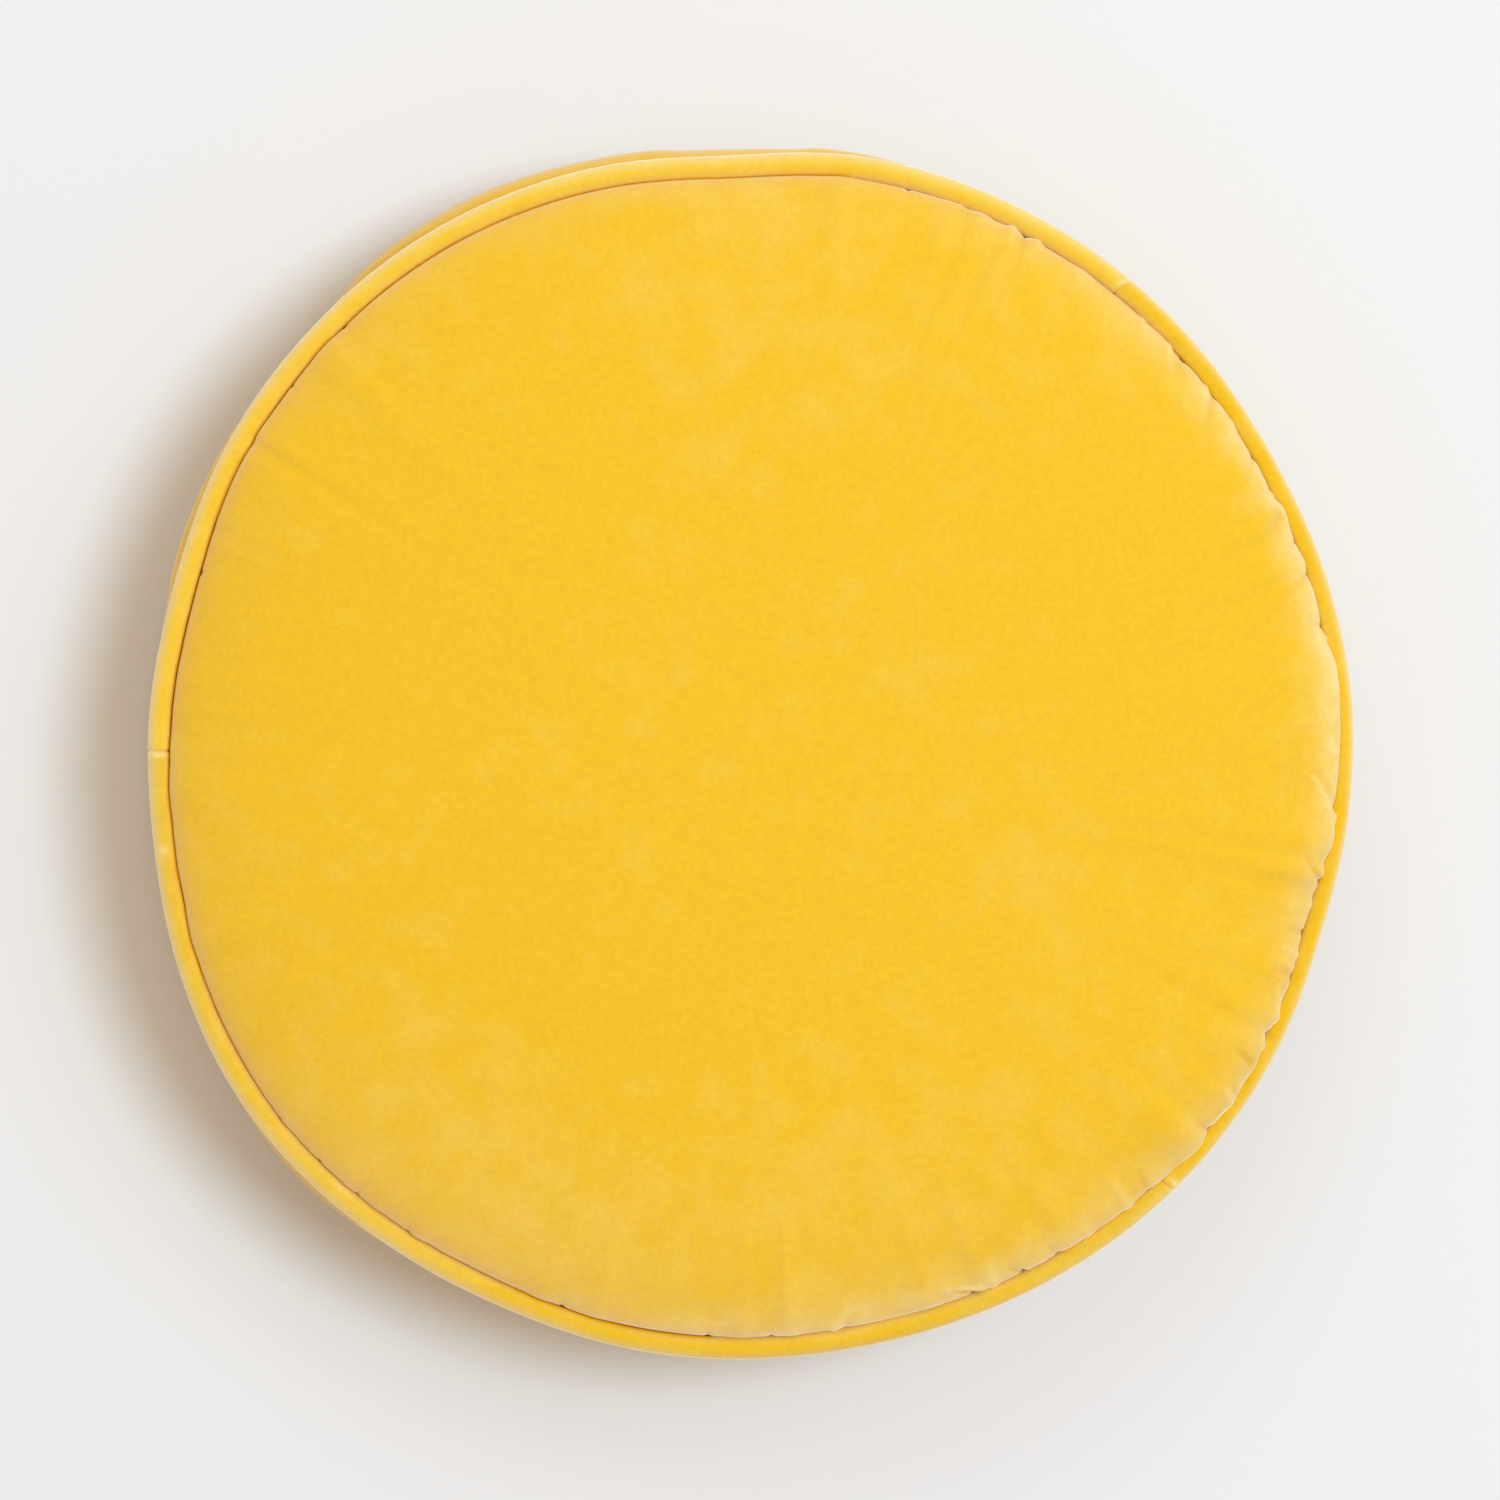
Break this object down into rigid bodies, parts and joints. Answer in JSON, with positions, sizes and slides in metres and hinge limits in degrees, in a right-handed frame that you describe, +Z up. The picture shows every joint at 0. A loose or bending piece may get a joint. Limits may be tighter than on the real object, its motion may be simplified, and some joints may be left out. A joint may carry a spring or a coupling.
{
  "type": "round boxed velvet cushion with piped seams",
  "caption": "Round boxed cushion in velvet: crowned faces, a drawn-in side band and covered piping sewn into both seams.",
  "frame": {"origin": "on the surface that the cushion rests on, under the middle of its outline", "axes": "+Z up out of the front face; +X to the right and +Y to the top of the face as it is pictured"},
  "size_m": [0.4288, 0.4294, 0.107],
  "materials": {
    "velvet": "short-pile cotton velvet, matt with a pale sheen at grazing angles",
    "piping_velvet": "the same velvet cut on the bias and wrapped round a cord"
  },
  "bodies": {
    "root": {"cushion_body": "velvet", "piping_front_1": "piping_velvet", "piping_front_2": "piping_velvet", "piping_front_3": "piping_velvet", "piping_back": "piping_velvet"}
  },
  "joints": []
}
